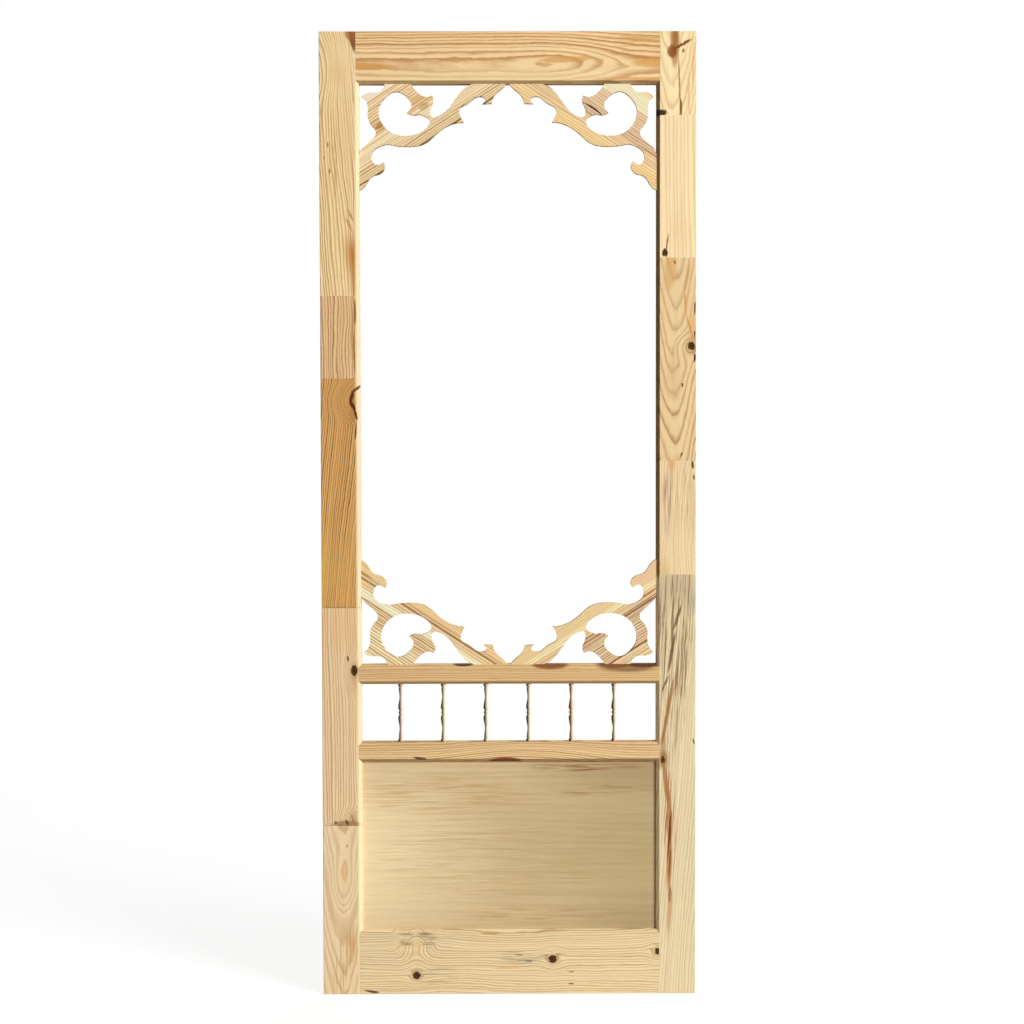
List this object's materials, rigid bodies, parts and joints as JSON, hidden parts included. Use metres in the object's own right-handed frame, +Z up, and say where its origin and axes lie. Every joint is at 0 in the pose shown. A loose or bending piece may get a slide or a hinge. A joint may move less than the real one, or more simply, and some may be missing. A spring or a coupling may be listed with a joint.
{
  "type": "screen door leaf",
  "caption": "Bare pine screen door leaf: bevelled frame, scroll brackets in the corners of the screen opening, turned spindles in a low open band and a flat bottom panel.",
  "frame": {"origin": "on the hinge edge, the flat outer face of the left stile, at mid thickness and mid height", "axes": "+X across the leaf from hinge edge to latch edge, +Y from the front face to the back face, +Z up"},
  "size_m": [0.8, 0.0286, 2.0574],
  "materials": {
    "hinge_stile_length_1": "bare planed pine",
    "hinge_stile_length_2": "bare planed pine",
    "hinge_stile_length_3": "bare planed pine",
    "hinge_stile_length_4": "bare planed pine",
    "hinge_stile_length_5": "bare planed pine",
    "latch_stile_length_1": "bare planed pine",
    "latch_stile_length_2": "bare planed pine",
    "latch_stile_length_3": "bare planed pine",
    "latch_stile_length_4": "bare planed pine",
    "latch_stile_length_5": "bare planed pine",
    "top_rail": "bare planed pine",
    "upper_mid_rail": "bare planed pine",
    "lower_mid_rail": "bare planed pine",
    "bottom_rail": "bare planed pine",
    "bottom_panel": "bare pine faced plywood",
    "spindle_1": "bare planed pine",
    "spindle_2": "bare planed pine",
    "spindle_3": "bare planed pine",
    "spindle_4": "bare planed pine",
    "spindle_5": "bare planed pine",
    "spindle_6": "bare planed pine",
    "bracket_top_left": "bare planed pine",
    "bracket_top_right": "bare planed pine",
    "bracket_bottom_left": "bare planed pine",
    "bracket_bottom_right": "bare planed pine"
  },
  "bodies": {
    "root": {"hinge_stile_length_1": "hinge_stile_length_1", "hinge_stile_length_2": "hinge_stile_length_2", "hinge_stile_length_3": "hinge_stile_length_3", "hinge_stile_length_4": "hinge_stile_length_4", "hinge_stile_length_5": "hinge_stile_length_5", "latch_stile_length_1": "latch_stile_length_1", "latch_stile_length_2": "latch_stile_length_2", "latch_stile_length_3": "latch_stile_length_3", "latch_stile_length_4": "latch_stile_length_4", "latch_stile_length_5": "latch_stile_length_5", "top_rail": "top_rail", "upper_mid_rail": "upper_mid_rail", "lower_mid_rail": "lower_mid_rail", "bottom_rail": "bottom_rail", "bottom_panel": "bottom_panel", "spindle_1": "spindle_1", "spindle_2": "spindle_2", "spindle_3": "spindle_3", "spindle_4": "spindle_4", "spindle_5": "spindle_5", "spindle_6": "spindle_6", "bracket_top_left": "bracket_top_left", "bracket_top_right": "bracket_top_right", "bracket_bottom_left": "bracket_bottom_left", "bracket_bottom_right": "bracket_bottom_right"}
  },
  "joints": []
}
